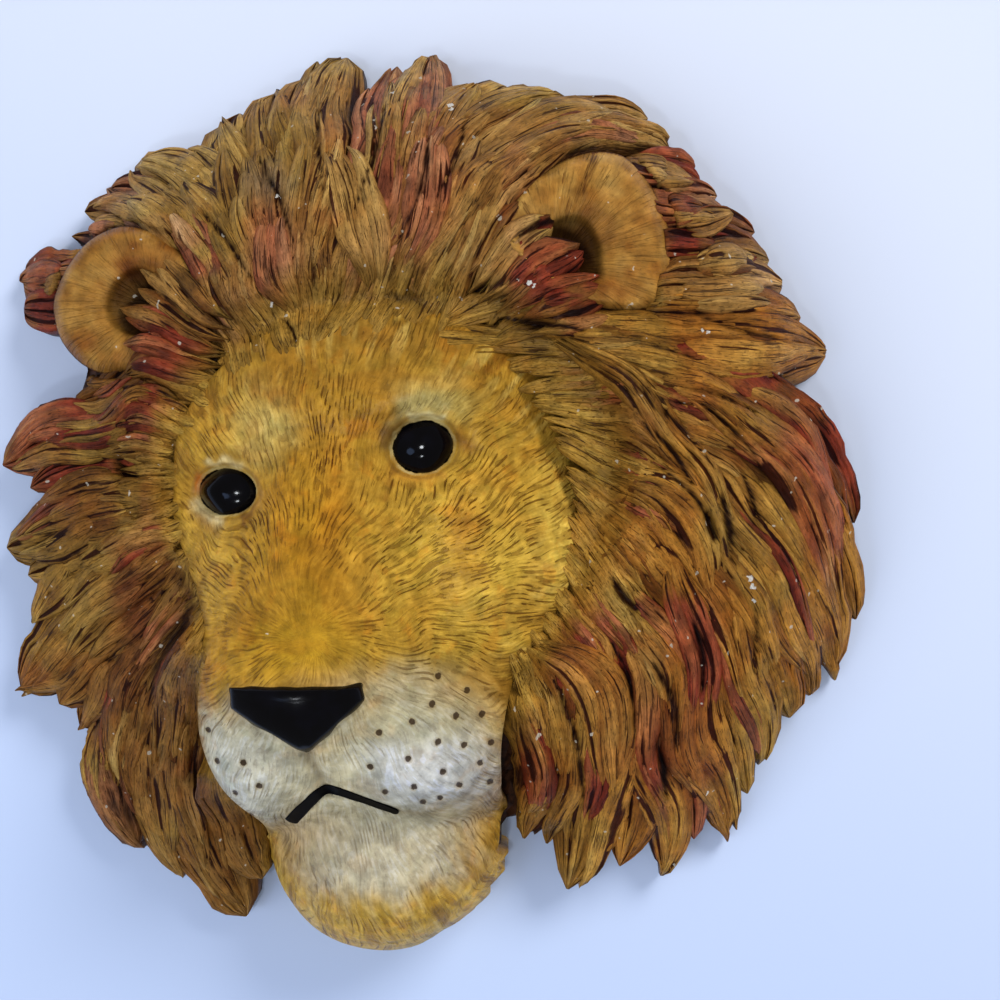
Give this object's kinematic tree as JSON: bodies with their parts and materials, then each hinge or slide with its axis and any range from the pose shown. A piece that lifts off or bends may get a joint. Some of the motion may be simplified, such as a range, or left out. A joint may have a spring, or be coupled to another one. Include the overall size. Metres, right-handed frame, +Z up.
{
  "type": "wall plaque",
  "caption": "Lion head wall plaque, cast in high relief with a full mane, painted resin, flat back with a nail pocket.",
  "frame": {"origin": "on the flat back, at the plaque's middle, where it lies against the wall", "axes": "+Y out of the back into the wall, so the lion looks out along -Y; +Z up; +X to the viewer's right"},
  "size_m": [0.1978, 0.0637, 0.2038],
  "materials": {
    "painted_resin": "hand-painted cast resin with a dark wash in the carving and a satin varnish"
  },
  "bodies": {
    "root": {"lion_head": "painted_resin"}
  },
  "joints": []
}
